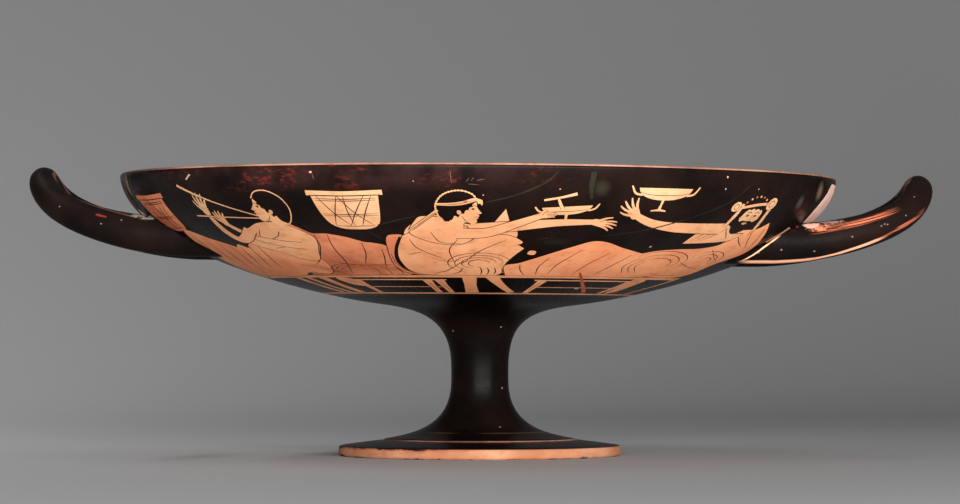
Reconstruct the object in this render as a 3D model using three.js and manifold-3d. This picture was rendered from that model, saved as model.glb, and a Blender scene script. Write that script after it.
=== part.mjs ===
// A Greek kylix: a wide, shallow wine cup on a tall stem and disc foot, with two
// looped handles. It is thrown and joined as one fired piece of clay, hollow in the
// bowl and under the foot.
// Millimetres, +Z up. The origin is the centre of the foot's resting ring, the
// handles lie along X and the main picture faces -Y.

import * as THREE from 'three';
import { mergeVertices } from 'three/addons/utils/BufferGeometryUtils.js';
import Module from 'manifold-3d';

const wasm = await Module();
wasm.setup();

// Foot
const footRadius = 65.6;
const footEdgeHeight = 4.9;
const footEdgeRounding = 0.9;
const restingRingInner = 55;
const footLineRadius = 44.6;    // scribed line round the top of the foot
const footLineHeight = 7.4;
const footLineStep = 0.5;

// Stem
const stemRadius = 13.3;
const stemWaistLow = 35;
const stemWaistHigh = 40.4;
const stemBoreRadius = 7.2;
const stemBoreTop = 63;

// Bowl
const rimRadius = 166;
const rimHeight = 129.4;
const lipWidth = 4;
const bowlFootRadius = 44.5;    // where the stem's flare turns into the bowl
const bowlFootHeight = 70;
const floorThickness = 5.2;
const bowlLean = 0.0068;        // the bowl sits a little lower on its +X side
const bowlOffCentre = -0.8;
const leanStart = 46;           // heights between which the lean sets in
const leanEnd = 74;

// Handles
const rodStart = 104;           // rod ends, inside the bowl until they are trimmed
const rodHalfSpread = 42;
const liftStart = 134;          // distance from the axis where the rods begin to rise
const tipRadius = 6.6;
const rootSwell = 1;
const swellStart = 152;         // distances from the axis between which a root swells
const swellEnd = 124;
// The two hand-made loops differ a little. height: centre line where the rods leave
// the wall; reach: centre line at the tip; sideLift: rise along the two sides;
// tipLift: arch of the cross-piece.
const leftLoop = {
  side: -1, height: 100, reach: 201.9, rootRadius: 9.2, sideLift: 17.2, tipLift: 8.9,
};
const rightLoop = {
  side: 1, height: 98.6, reach: 204.6, rootRadius: 9.4, sideLift: 17, tipLift: 9.4,
};

const turnSteps = 64;
const rodSides = 12;
const rodSteps = 40;

const v2 = (r, z) => new THREE.Vector2(r, z);
const line = (a, b) => new THREE.LineCurve(a, b);
const bezier = (a, b, c, d) => new THREE.CubicBezierCurve(a, b, c, d);

// Joins curves end to end into one outline; each entry is a curve and its steps.
function outline(pieces) {
  const points = [pieces[0][0].getPoint(0)];
  for (const [curve, steps] of pieces) {
    points.push(...curve.getPoints(steps).slice(1));
  }
  return points;
}

// Turns an outline of (radius, height) points about the Z axis.
function turned(points) {
  const geometry = new THREE.LatheGeometry(points, turnSteps);
  geometry.rotateX(Math.PI / 2);
  return geometry;
}

function solid(geometry) {
  const bare = geometry.clone();
  bare.deleteAttribute('normal');
  bare.deleteAttribute('uv');
  const merged = mergeVertices(bare, 1e-4);
  const mesh = new wasm.Mesh({
    numProp: 3,
    vertProperties: merged.attributes.position.array,
    triVerts: Uint32Array.from(merged.index.array),
  });
  return new wasm.Manifold(mesh);
}

function geometryOf(body) {
  const mesh = body.getMesh();
  const geometry = new THREE.BufferGeometry();
  geometry.setAttribute('position', new THREE.BufferAttribute(mesh.vertProperties, 3));
  geometry.setIndex(new THREE.BufferAttribute(mesh.triVerts, 1));
  return geometry;
}

// The hollow under the foot: a cone that narrows into the stem.
function footHollow() {
  const shoulder = v2(stemBoreRadius, stemWaistLow - 5);
  const ringInside = v2(restingRingInner - 3, 3.2);
  return [
    [bezier(v2(0, stemBoreTop), v2(6, stemBoreTop - 4), v2(stemBoreRadius, 46), shoulder), 3],
    [bezier(shoulder, v2(stemBoreRadius, 13), v2(22, 8), ringInside), 5],
    [line(ringInside, v2(restingRingInner, 0)), 1],
  ];
}

function footEdge() {
  const low = v2(footRadius - footEdgeRounding, 0);
  const edgeLow = v2(footRadius, footEdgeRounding);
  const edgeHigh = v2(footRadius, footEdgeHeight - footEdgeRounding);
  const high = v2(footRadius - footEdgeRounding, footEdgeHeight);
  return [
    [line(v2(restingRingInner, 0), low), 1],
    [line(low, edgeLow), 1],
    [line(edgeLow, edgeHigh), 1],
    [line(edgeHigh, high), 1],
  ];
}

// Foot top, stem and the flare under the bowl.
function stemSide() {
  const edge = v2(footRadius - footEdgeRounding, footEdgeHeight);
  const lineOuter = v2(footLineRadius, footLineHeight);
  const lineInner = v2(footLineRadius - 0.4, footLineHeight + footLineStep);
  const waistLow = v2(stemRadius, stemWaistLow);
  const waistHigh = v2(stemRadius, stemWaistHigh);
  const bowlFoot = v2(bowlFootRadius, bowlFootHeight);
  return [
    [line(edge, lineOuter), 2],
    [line(lineOuter, lineInner), 1],
    [bezier(lineInner, v2(30.9, 10.3), v2(stemRadius, 13.4), waistLow), 7],
    [line(waistLow, waistHigh), 1],
    [bezier(waistHigh, v2(stemRadius, 61.6), v2(23.1, 67.4), bowlFoot), 7],
  ];
}

function bowlOutside() {
  const start = v2(bowlFootRadius, bowlFootHeight);
  const shoulder = v2(rimRadius, rimHeight - 2);
  const topOuter = v2(rimRadius - 0.7, rimHeight - 0.4);
  return [
    [bezier(start, v2(82.2, 74.6), v2(rimRadius - 3.6, 95.7), shoulder), 12],
    [line(shoulder, topOuter), 1],
  ];
}

function bowlInside() {
  const topOuter = v2(rimRadius - 0.7, rimHeight - 0.4);
  const top = v2(rimRadius - lipWidth / 2, rimHeight);
  const shoulder = v2(rimRadius - lipWidth, rimHeight - 2);
  const floorEdge = v2(bowlFootRadius, bowlFootHeight + floorThickness);
  const floorHeight = bowlFootHeight + floorThickness - 2.2;
  return [
    [line(topOuter, top), 1],
    [line(top, shoulder), 1],
    [bezier(shoulder, v2(rimRadius - 8.2, 99.8), v2(81, 79.7), floorEdge), 10],
    [bezier(floorEdge, v2(30, 73.5), v2(14, floorHeight), v2(0, floorHeight)), 2],
  ];
}

// A solid that fills the bowl as far as the middle of its wall. It trims the
// handles, which are luted to the outside only.
function bowlFilling() {
  const start = v2(0, bowlFootHeight + 3);
  const low = v2(bowlFootRadius, bowlFootHeight + floorThickness / 2);
  const high = v2(rimRadius - lipWidth / 2, rimHeight - 2);
  return turned(outline([
    [line(start, low), 1],
    [bezier(low, v2(81.6, 77.1), v2(rimRadius - 5.9, 97.7), high), 12],
    [line(high, v2(0, rimHeight - 2)), 1],
  ]));
}

const swellAt = (x) => (
  rootSwell * (1 - THREE.MathUtils.smoothstep(Math.abs(x), swellEnd, swellStart)));

// Centre line of a handle loop. Seen from above it is half of a rounded oblong.
// The sides rise faster and faster, and the cross-piece is arched.
class LoopLine extends THREE.Curve {
  constructor(loop) {
    super();
    this.loop = loop;
  }

  getPoint(t) {
    const { side, height, reach, sideLift, tipLift } = this.loop;
    const squareness = 2.6;
    const angle = (t - 0.5) * Math.PI;
    const out = Math.cos(angle) ** (2 / squareness);
    const across = Math.sign(angle) * Math.abs(Math.sin(angle)) ** (2 / squareness);
    const x = rodStart + (reach - rodStart) * out;
    const y = rodHalfSpread * across;
    const rise = Math.max(0, (x - liftStart) / (reach - liftStart));
    const arch = (1 - across ** 2) ** 4.5;
    const z = height + swellAt(x) + sideLift * rise ** 2 + tipLift * arch;
    return new THREE.Vector3(side * x, y, z);
  }
}

// A round rod along the loop, thicker at the roots, where it is luted on.
function handle(loop) {
  const path = new LoopLine(loop);
  const section = new THREE.Shape();
  section.absarc(0, 0, 1, 0, 2 * Math.PI);
  const geometry = new THREE.ExtrudeGeometry(section, {
    steps: rodSteps,
    extrudePath: path,
    curveSegments: rodSides / 2,
    bevelEnabled: false,
  });
  const centres = path.getSpacedPoints(rodSteps);
  const corner = new THREE.Vector3();
  const position = geometry.attributes.position;
  for (let i = 0; i < position.count; i += 1) {
    corner.fromBufferAttribute(position, i);
    const centre = centres.reduce((a, b) => (
      b.distanceTo(corner) < a.distanceTo(corner) ? b : a));
    const inward = (loop.reach - Math.abs(centre.x)) / (loop.reach - liftStart);
    const plain = THREE.MathUtils.lerp(tipRadius, loop.rootRadius, Math.min(1, inward));
    corner.sub(centre).multiplyScalar(plain + swellAt(centre.x)).add(centre);
    position.setXYZ(i, corner.x, corner.y, corner.z);
  }
  return geometry;
}

// Leans the bowl and handles on the stem; the foot stays level.
function lean(geometry) {
  const position = geometry.attributes.position;
  for (let i = 0; i < position.count; i += 1) {
    const x = position.getX(i);
    const z = position.getZ(i);
    const share = THREE.MathUtils.smoothstep(z, leanStart, leanEnd);
    position.setX(i, x + bowlOffCentre * share);
    position.setZ(i, z - bowlLean * x * share);
  }
  return geometry;
}

const cup = solid(turned(outline([
  ...footHollow(),
  ...footEdge(),
  ...stemSide(),
  ...bowlOutside(),
  ...bowlInside(),
])));
const filling = solid(bowlFilling());
const left = solid(handle(leftLoop)).subtract(filling);
const right = solid(handle(rightLoop)).subtract(filling);
const body = cup.add(left).add(right);

const blackGloss = new THREE.MeshStandardMaterial({
  color: 0x1a1614,
  roughness: 0.3,
  metalness: 0,
});
const kylix = new THREE.Mesh(lean(geometryOf(body)), blackGloss);
kylix.name = 'kylix';

const group = new THREE.Group();
group.add(kylix);

export default group;
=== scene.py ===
import math

import bpy
import numpy as np
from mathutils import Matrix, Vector
from mathutils.geometry import delaunay_2d_cdt


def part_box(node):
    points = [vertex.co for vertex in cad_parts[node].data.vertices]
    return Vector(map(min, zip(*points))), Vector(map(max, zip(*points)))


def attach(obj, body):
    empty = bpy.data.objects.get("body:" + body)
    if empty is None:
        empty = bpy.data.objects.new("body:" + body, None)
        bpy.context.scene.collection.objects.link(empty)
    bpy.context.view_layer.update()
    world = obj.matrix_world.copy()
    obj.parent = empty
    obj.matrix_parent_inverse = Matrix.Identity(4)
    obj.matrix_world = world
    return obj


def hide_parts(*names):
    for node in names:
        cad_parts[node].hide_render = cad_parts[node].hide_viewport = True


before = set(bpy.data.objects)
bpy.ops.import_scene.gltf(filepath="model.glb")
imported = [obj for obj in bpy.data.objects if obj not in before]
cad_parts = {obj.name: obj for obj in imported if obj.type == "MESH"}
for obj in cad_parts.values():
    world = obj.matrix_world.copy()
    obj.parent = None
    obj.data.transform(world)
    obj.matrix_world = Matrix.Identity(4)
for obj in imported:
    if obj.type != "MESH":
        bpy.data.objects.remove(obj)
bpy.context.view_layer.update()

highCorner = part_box("kylix")[1]
mm = 0.001

# A Greek wine cup, thrown in one with its foot, with two looped handles. Profiles and
# drawings are in millimetres and degrees, and become metres when a mesh is made.

cup = {
    "rimRadius": highCorner.y / mm,
    "rimHeight": 129.4,
    "lipWidth": 4.0,
    "bowlFootRadius": 44.5,
    "bowlFootHeight": 70.0,
    "floorThickness": 5.2,
    "stemRadius": 13.3,
    "stemWaist": (35.0, 40.4),
    "boreRadius": 7.2,
    "boreTop": 63.0,
    "footRadius": 65.6,
    "footEdgeHeight": 4.9,
    "restingRingInner": 55.0,
    "footLineRadius": 44.6,
    "footLineHeight": 7.4,
    "lean": 0.0068,
    "offCentre": -0.8,
    "leanHeights": (46.0, 74.0),
    "columns": 288,
}


def bezier(a, b, c, d, steps):
    points = []
    for i in range(steps + 1):
        t = i / steps
        s = 1 - t
        points.append(tuple(
            s ** 3 * a[k] + 3 * s * s * t * b[k] + 3 * s * t * t * c[k] + t ** 3 * d[k]
            for k in (0, 1)))
    return points


def chain(*runs):
    points = list(runs[0])
    for run in runs[1:]:
        points += run[1:] if math.dist(points[-1], run[0]) < 1e-6 else run
    return points


def arcLength(curve):
    return np.concatenate(([0], np.cumsum(np.linalg.norm(np.diff(curve, axis=0), axis=1))))


def alongCurve(places, reaches, curve):  # points of a curve, at lengths along it
    return np.stack([np.interp(places, reaches, column) for column in curve.T], axis=-1)


wallCurve = np.array(bezier(
    (cup["bowlFootRadius"], cup["bowlFootHeight"]), (82.2, 74.6),
    (cup["rimRadius"] - 3.6, 95.7), (cup["rimRadius"], cup["rimHeight"] - 2), 400))
wallReach = cup["bowlFootRadius"] + arcLength(wallCurve)

floorEdge = (cup["bowlFootRadius"], cup["bowlFootHeight"] + cup["floorThickness"])
floorHeight = floorEdge[1] - 2.2
floorCurve = np.array(chain(
    bezier((0, floorHeight), (14, floorHeight), (30, 73.5), floorEdge, 200),
    bezier(floorEdge, (81, 79.7), (cup["rimRadius"] - 8.2, 99.8),
           (cup["rimRadius"] - cup["lipWidth"], cup["rimHeight"] - 2), 400)))
floorReach = arcLength(floorCurve)


def wallPoint(reach):  # radius and height of the outer wall, by arc length from the axis
    return (float(np.interp(reach, wallReach, wallCurve[:, 0])),
            float(np.interp(reach, wallReach, wallCurve[:, 1])))


# A point on the wall is (azimuth, reach): degrees round from the front and
# millimetres out from the axis along the wall. A third number marks a corner.
# Shapes are laid down in painting order: (paint, outline).
marks = []
front = (0, 1)


def degreeWidth(reach):  # millimetres to one degree
    return math.radians(wallPoint(reach)[0])


def catmull(a, b, c, d, t):
    return tuple(
        0.5 * (2 * b[k] + (c[k] - a[k]) * t + (2 * a[k] - 5 * b[k] + 4 * c[k] - d[k]) * t * t
               + (3 * b[k] - a[k] - 3 * c[k] + d[k]) * t ** 3)
        for k in (0, 1))


def flow(points, gap, last=True):  # a smooth run through points, with no corner in it
    if len(points) == 2:
        points = [points[0], tuple((points[0][k] + points[1][k]) / 2 for k in (0, 1)), points[1]]
    ends = [tuple(2 * points[0][k] - points[1][k] for k in (0, 1)),
            tuple(2 * points[-1][k] - points[-2][k] for k in (0, 1))]
    line = [ends[0]] + list(points) + [ends[1]]
    made = []
    for a, b, c, d in zip(line, line[1:], line[2:], line[3:]):
        length = math.hypot((c[0] - b[0]) * degreeWidth(b[1]), c[1] - b[1])
        steps = max(1, round(length / gap))
        made += [catmull(a, b, c, d, i / steps) for i in range(steps)]
    if last:
        made.append(points[-1][:2])
    return made


def smooth(points, closed=False, gap=1.5):
    corners = [i for i, p in enumerate(points) if len(p) == 3]
    if not closed:
        cuts = [0] + [i for i in corners if 0 < i < len(points) - 1] + [len(points) - 1]
        line = []
        for a, b in zip(cuts, cuts[1:]):
            line += flow([p[:2] for p in points[a:b + 1]], gap, b == cuts[-1])
        return line
    if corners:
        turned = list(points[corners[0]:]) + list(points[:corners[0] + 1])
        return smooth(turned, gap=gap)[:-1]
    wrapped = [p[:2] for p in (*points[-2:], *points, *points[:3])]
    whole = flow(wrapped, gap)
    first = len(flow(wrapped[:3], gap, False))
    return whole[first:first + len(flow([*wrapped[2:-2]], gap, False))]


def place(at, points):  # from a figure's own azimuths to the cup's
    return [(at[0] + at[1] * p[0], *p[1:]) for p in points]


def around(centre, points, size=1.0, tilt=0.0, side=1):
    # from millimetres about a centre to azimuth and reach
    c, s = math.cos(math.radians(tilt)), math.sin(math.radians(tilt))
    wide = degreeWidth(centre[1])
    made = []
    for x, y, *rest in points:
        x, y = side * size * x, size * y
        made.append((centre[0] + (x * c - y * s) / wide, centre[1] + x * s + y * c, *rest))
    return made


def area(at, paint, points, gap=1.5):
    marks.append((paint, smooth(place(at, points), True, gap)))


def ribbon(at, paint, points, widths, gap=1.3):
    # a band along a smooth line; widths in millimetres are spread along it
    line = smooth(place(at, points), gap=gap)
    left, right = [], []
    for i, p in enumerate(line):
        a, b = line[max(0, i - 1)], line[min(len(line) - 1, i + 1)]
        wide = degreeWidth(p[1])
        dx, dy = (b[0] - a[0]) * wide, b[1] - a[1]
        size = math.hypot(dx, dy) or 1
        share = i / (len(line) - 1) * (len(widths) - 1)
        k = min(int(share), len(widths) - 2)
        half = (widths[k] + (widths[k + 1] - widths[k]) * (share - k)) / 2
        nx, ny = -dy / size * half, dx / size * half
        left.append((p[0] + nx / wide, p[1] + ny))
        right.append((p[0] - nx / wide, p[1] - ny))
    marks.append((paint, left + right[::-1]))


def stroke(at, points, width=0.6, paint="line"):
    ribbon(at, paint, points, (width * 0.5, width, width, width * 0.4))


def closedStroke(at, points, width, paint="line"):
    line = smooth(place(at, points), True)
    ribbon(front, paint, [(*p, 1) for p in line + line[:2]], (width, width), 9)


def shape(at, points, paint="clay", edge=0.42):  # an area with a drawn contour
    if edge:
        closedStroke(at, points, 2 * edge)
    area(at, paint, points)


def limb(at, points, widths, paint="clay", edge=0.42):
    if edge:
        ribbon(at, "line", points, [w + 2 * edge for w in widths])
    ribbon(at, paint, points, widths)


def folds(at, first, last, count, width=0.58, paint="line"):
    # strokes in even steps from one fold to another
    for i in range(count):
        t = i / max(1, count - 1)
        stroke(at, [tuple(a[k] + (b[k] - a[k]) * t for k in (0, 1))
                    for a, b in zip(first, last)], width, paint)


def ring(centre, wide, high, tilt=0, count=10):
    return around(centre, [(wide * math.cos(2 * math.pi * i / count),
                            high * math.sin(2 * math.pi * i / count))
                           for i in range(count)], tilt=tilt)


def mirrored(points):
    # completes an outline whose first half begins and ends on the middle line
    return points + [(-x, *rest) for x, *rest in points[::-1] if x]


def sideHead(at, centre, size, tilt=0, side=1, wide=1.15, band=True, beads=True):
    # head and neck in profile, facing +azimuth when side is 1; size is chin to crown
    def put(points):
        return around(centre, [(x * wide, *rest) for x, *rest in points], size, tilt, side)

    face = [(0.27, 0.32), (0.33, 0.12), (0.44, -0.07, 1), (0.37, -0.11), (0.40, -0.17),
            (0.36, -0.20, 1), (0.385, -0.24), (0.34, -0.29), (0.36, -0.38), (0.28, -0.47),
            (0.10, -0.42), (0.05, -0.56), (0.10, -0.86, 1), (-0.34, -0.86, 1),
            (-0.30, -0.50), (-0.40, -0.10), (-0.36, 0.30), (-0.08, 0.46)]
    hair = [(0.29, 0.29, 1), (0.22, 0.19), (0.24, 0.13, 1), (0.17, 0.10), (0.155, 0.02, 1), (0.09, 0.0),
            (0.06, -0.12, 1), (-0.01, -0.12), (-0.06, -0.26, 1), (-0.14, -0.20), (-0.20, -0.36),
            (-0.34, -0.42), (-0.47, -0.16), (-0.50, 0.14), (-0.36, 0.41), (-0.08, 0.53), (0.18, 0.46)]
    area(at, "clay", put(face), 0.8)
    outline = put([(x * 1.09, y * 1.09 + 0.004) for x, y, *_ in hair[10:]] + [(0.33, 0.30)])
    ribbon(at, "clay", outline, (0.55, 0.6, 0.55), 1)
    area(at, "gloss", put(hair), 0.8)
    area(at, "clay", put([(-0.03, -0.01), (-0.09, -0.02), (-0.09, -0.10), (-0.05, -0.15), (0.0, -0.09)]),
         0.6)
    for width, points in (
        (0.26, [(-0.03, -0.03), (-0.07, -0.05), (-0.045, -0.10)]),   # ear
        (0.32, [(0.20, 0.15), (0.27, 0.17), (0.325, 0.145)]),        # brow
        (0.32, [(0.19, 0.055), (0.245, 0.085), (0.305, 0.06)]),      # upper lid
        (0.22, [(0.21, 0.045), (0.25, 0.03), (0.295, 0.05)]),        # lower lid
        (0.24, [(0.37, -0.10), (0.34, -0.09), (0.345, -0.06)]),      # nostril
        (0.28, [(0.365, -0.20), (0.31, -0.205), (0.285, -0.22)]),    # mouth
        (0.32, [(0.02, -0.20), (0.10, -0.36), (0.20, -0.43)]),       # jaw
    ):
        stroke(at, put(points), width)
    area(at, "line", put([(0.24, 0.08), (0.268, 0.055), (0.243, 0.032), (0.22, 0.055)]), 0.5)
    if beads:
        for x, y in smooth(outline, gap=1.5)[:-1]:
            area(at, "clay", ring((x, y), 0.52, 0.52, 0, 6), 0.6)
    if band:
        wreath = [(0.37, 0.24), (0.30, 0.36), (0.02, 0.23), (-0.24, 0.17), (-0.53, 0.15)]
        ribbon(at, "clay", put(wreath), (1.2, 2.0, 1.9, 1.5, 1.2))
        stroke(at, put([(0.27, 0.335), (0.02, 0.225), (-0.24, 0.165), (-0.50, 0.15)]), 0.28)
        ribbon(at, "red", put([(0.12, 0.30), (0.03, 0.25)]), (0.7, 0.9))
        ribbon(at, "clay", put([(0.30, 0.36), (0.40, 0.33), (0.42, 0.20)]), (1.0, 1.2, 0.6))


def frontHead(at, centre, size, wide=1.15):
    # bearded head seen from the front
    def put(points):
        return around(centre, [(x * wide, *rest) for x, *rest in points], size)

    def both(points):
        return [put(points), put([(-x, *rest) for x, *rest in points])]

    face = [(0, 0.44), (0.25, 0.36), (0.34, 0.10), (0.31, -0.16), (0.16, -0.40), (0, -0.48)]
    hair = [(0, 0.50), (0.27, 0.42), (0.42, 0.14), (0.40, -0.12, 1), (0.33, -0.02), (0.30, 0.16),
            (0.22, 0.27), (0.16, 0.24, 1), (0.08, 0.30), (0, 0.25, 1)]
    beard = [(0, -0.70), (0.20, -0.60), (0.36, -0.34), (0.33, -0.06, 1), (0.25, -0.17), (0.14, -0.13),
             (0, -0.15)]
    for paint, half in (("clay", face), ("gloss", hair), ("gloss", beard)):
        area(at, paint, put(mirrored(half)), 0.8)
    area(at, "clay", put([(-0.10, -0.235), (0, -0.205), (0.10, -0.235), (0, -0.285)]), 0.5)
    stroke(at, put([(-0.10, -0.24), (0, -0.245), (0.10, -0.24)]), 0.24)
    for width, points in (
        (0.4, [(0.05, 0.145), (0.13, 0.185), (0.23, 0.145)]),        # brows
        (0.36, [(0.06, 0.05), (0.135, 0.09), (0.215, 0.05)]),        # upper lids
        (0.24, [(0.08, 0.035), (0.135, 0.012), (0.20, 0.04)]),       # lower lids
    ):
        for line in both(points):
            stroke(at, line, width)
    for blob in both([(0.135, 0.085), (0.168, 0.052), (0.135, 0.02), (0.102, 0.052)]):
        area(at, "line", blob, 0.5)
    stroke(at, put([(0.04, 0.11), (0.035, -0.04), (0.07, -0.085), (0, -0.11), (-0.07, -0.085)]), 0.3)


def hand(at, wrist, tilt, size=1.0, side=1, spread=11):
    # an open hand reaching along +x before it is tilted
    def put(points):
        return around(wrist, points, size, tilt, side)

    for i, long in enumerate((6.2, 7.4, 7.4, 6.2)):
        lean = math.radians((1.5 - i) * spread)
        root = (4.2, 1.8 - 1.2 * i)
        tip = (root[0] + long * math.cos(lean), root[1] + long * math.sin(lean))
        bend = ((root[0] + tip[0]) / 2, (root[1] + tip[1]) / 2 + 0.45)
        limb(at, put([root, bend, tip]), (1.2, 1.15, 0.6), edge=0.2)
    area(at, "clay", put([(-1.6, 1.7), (2.2, 2.4), (5.0, 2.3), (5.2, -2.0), (2.2, -2.3), (-1.6, -1.7)]), 1)
    limb(at, put([(1.4, 1.6), (3.8, 4.2), (6.4, 5.6)]), (1.7, 1.3, 0.6), edge=0.2)


def smallCup(at, centre, size=1.0, tilt=0.0, paint="clay"):
    # a drinking cup like this one, in side view
    def put(points):
        return around(centre, points, size, tilt)

    for side in (-1, 1):
        ribbon(at, paint, put([(side * 10.2, 0.6), (side * 13.4, 1.4), (side * 15.4, 4.6)]),
               (1.0, 1.0, 0.7))
    area(at, paint, put(mirrored([(12.2, 3.8, 1), (10.6, 0.9), (5.6, -1.2), (0, -1.7)])))
    stroke(at, put([(-11.6, 1.9), (-5.6, 0.7), (5.6, 0.7), (11.6, 1.9)]), 0.34)
    ribbon(at, paint, put([(0, -1.2), (0, -6.6)]), (1.5, 1.0, 1.7))
    ribbon(at, paint, put([(-3.6, -7.3), (0, -6.8), (3.6, -7.3)]), (0.7, 1.3, 0.7))


def basket(at, centre, size=1.0, paint="clay"):
    # a tall wicker food basket, hung on the wall
    def put(points):
        return around(centre, points, size)

    area(at, paint, put([(-15.2, 10.2), (-13.8, -1), (-11.6, -8.4), (-6.5, -11.9), (0, -12.4), (6.5, -11.9),
                         (11.6, -8.4), (13.8, -1), (15.2, 10.2, 1), (-15.2, 10.2, 1)]))
    for y in (7.6, 6.6, -1.4, -2.5, -9.6):
        half = 13.7 if y > 0 else 12.9 if y > -5 else 9.6
        stroke(at, put([(-half, y), (0, y - 0.5), (half, y)]), 0.44)
    for top, low in ((-12.5, -1.5), (-3.5, -9.5), (-3.2, 8.8), (-0.5, -0.2), (8.5, -2.5), (11.8, 3.2)):
        stroke(at, put([(top, 8.8), ((top + low) / 2 - 0.4, -1), (low, -10.6 + abs(low) * 0.16)]), 0.5)
    limb(at, put([(-17, 10.7), (0, 10.1), (17, 10.7)]), (2.5, 2.3, 2.5), paint, edge=0.3)
    stroke(at, put([(-16, 9.6), (0, 9.0), (16, 9.6)]), 0.3)


def lowTable(at, left, right):
    # a three-legged table drawn up to the couch
    middle = (left + right) / 2
    ribbon(at, "clay", [(left, 95.4), (middle, 95.4), (right, 95.4)], (1.5, 1.5))
    ribbon(at, "clay", [(left + 2, 84), (middle, 84), (right - 2, 84)], (0.9, 0.9))
    for azimuth, lean in ((left + 2.4, -1.2), (right - 5.4, 0.6), (right - 2, 1.4)):
        limb(at, [(azimuth, 94.6), (azimuth + lean * 0.4, 86), (azimuth + lean, 74)], (4.4, 3.0, 2.6),
             edge=0.3)
        stroke(at, [(azimuth, 93), (azimuth + lean, 78)], 0.3)


def couch(at, left, right):
    ribbon(at, "clay", [(left, 100.4), ((left + right) / 2, 100.4), (right, 100.4)], (3.2, 3.2))
    stroke(at, [(left, 102.2), ((left + right) / 2, 102.2), (right, 102.2)], 0.5)


def curls(at, centre, first, step, count, tilt=0, turn=0.62, width=0.45):
    # the bunched folds over a bent knee or hip: nested open loops
    for i in range(count):
        wide, high = first[0] + step[0] * i, first[1] + step[1] * i
        loop = ring(centre, wide, high, tilt, 20)
        stroke(at, loop[:int(20 * turn)], width)


def piper(at):
    # mantled legs, running out under the left handle
    legs = [(-81, 99.5, 1), (-80.5, 108), (-77, 119), (-72.5, 129), (-68.6, 141), (-65.4, 151.4),
            (-62.8, 151), (-59.4, 144.6), (-56, 139), (-54.4, 135.6, 1), (-52.6, 138.4), (-51, 134.6, 1),
            (-48.6, 139), (-44.5, 142), (-38, 138), (-35, 128), (-36, 112), (-40, 104), (-46, 106),
            (-50, 102), (-58, 100.5), (-68, 102.4)]
    back = [(-38, 152), (-34.6, 155.4), (-32.4, 152), (-30.4, 147.2), (-27.6, 146.8), (-24, 143.6),
            (-21.4, 139.6), (-19.6, 138.6), (-17.2, 134.6), (-16.2, 118), (-16.6, 101.8, 1),
            (-47, 101.8, 1), (-44, 110), (-40, 130)]
    shape(at, back, "cloth")
    # painted light: the legs take the brighter mantle red, for the weaker light at this end of the frieze
    shape(at, legs, "mantle")
    folds(at, [(-30.4, 146), (-31.4, 136), (-35.6, 122), (-39, 116)],
          [(-27.6, 146), (-28.8, 134), (-29.8, 119), (-32.6, 104)], 2, 0.55)
    folds(at, [(-22, 138.6), (-23, 128), (-25.6, 116)], [(-18.8, 133), (-19.6, 124), (-21.4, 112)], 2, 0.5)
    folds(at, [(-64.6, 149), (-66.6, 138), (-72, 124)], [(-56, 138), (-58.6, 126), (-66, 108)], 4)
    folds(at, [(-53, 136), (-55.6, 126), (-60, 114)], [(-47, 138), (-49.6, 124), (-53, 112)], 3)
    stroke(at, [(-36, 122), (-28, 115.4), (-17, 116)], 0.5)
    curls(at, (-31.6, 110.4), (4, 2.2), (2.8, 1.9), 3, 12, 0.7)
    folds(at, [(-44, 116), (-41, 112.4), (-37.8, 106)], [(-40.6, 117), (-38, 113), (-35, 105)], 3)
    folds(at, [(-25.6, 114), (-24.4, 109), (-24.8, 103)], [(-19.4, 114), (-18.6, 108), (-18.6, 103)], 3,
          0.4)
    # chest and arms
    shape(at, [(-36.6, 156), (-40.4, 155.4), (-43.4, 152), (-46, 150), (-47.6, 144), (-48, 138.5),
               (-43, 130), (-39.6, 122), (-36.2, 121), (-33.4, 130), (-30.8, 143), (-33.4, 152)])
    stroke(at, [(-41.2, 150.6), (-42.4, 147), (-43.4, 143)], 0.44)
    stroke(at, [(-34.4, 150.2), (-36.8, 149.6), (-38.6, 145), (-41.4, 142), (-44, 140)], 0.44)
    stroke(at, [(-37.2, 136), (-40, 135.4), (-43.2, 134)], 0.4)
    limb(at, [(-35, 136), (-39.6, 138.4), (-44.6, 144.4), (-47.8, 154.6)], (6.4, 5.8, 4.4, 2.6))
    limb(at, [(-43.6, 150.4), (-47, 144), (-49.6, 142.6), (-50.6, 150), (-50.2, 163)],
         (6, 6, 5.2, 3.6, 2.4))
    hand(at, (-50.2, 163.4), 78, 0.95, spread=15)
    limb(at, [(-38.5, 160.2), (-46, 168.6), (-54.0, 178.4)], (0.7, 0.8, 1.3), edge=0.25)
    limb(at, [(-38.5, 158.8), (-46, 159.9), (-53.8, 161.5)], (0.7, 0.7, 1.0), edge=0.25)
    hand(at, (-47.9, 155.2), 84, 0.78, spread=13)
    sideHead(at, (-35.7, 164.3), 18.6, -9, -1, 1.12, band=False, beads=False)


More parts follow.
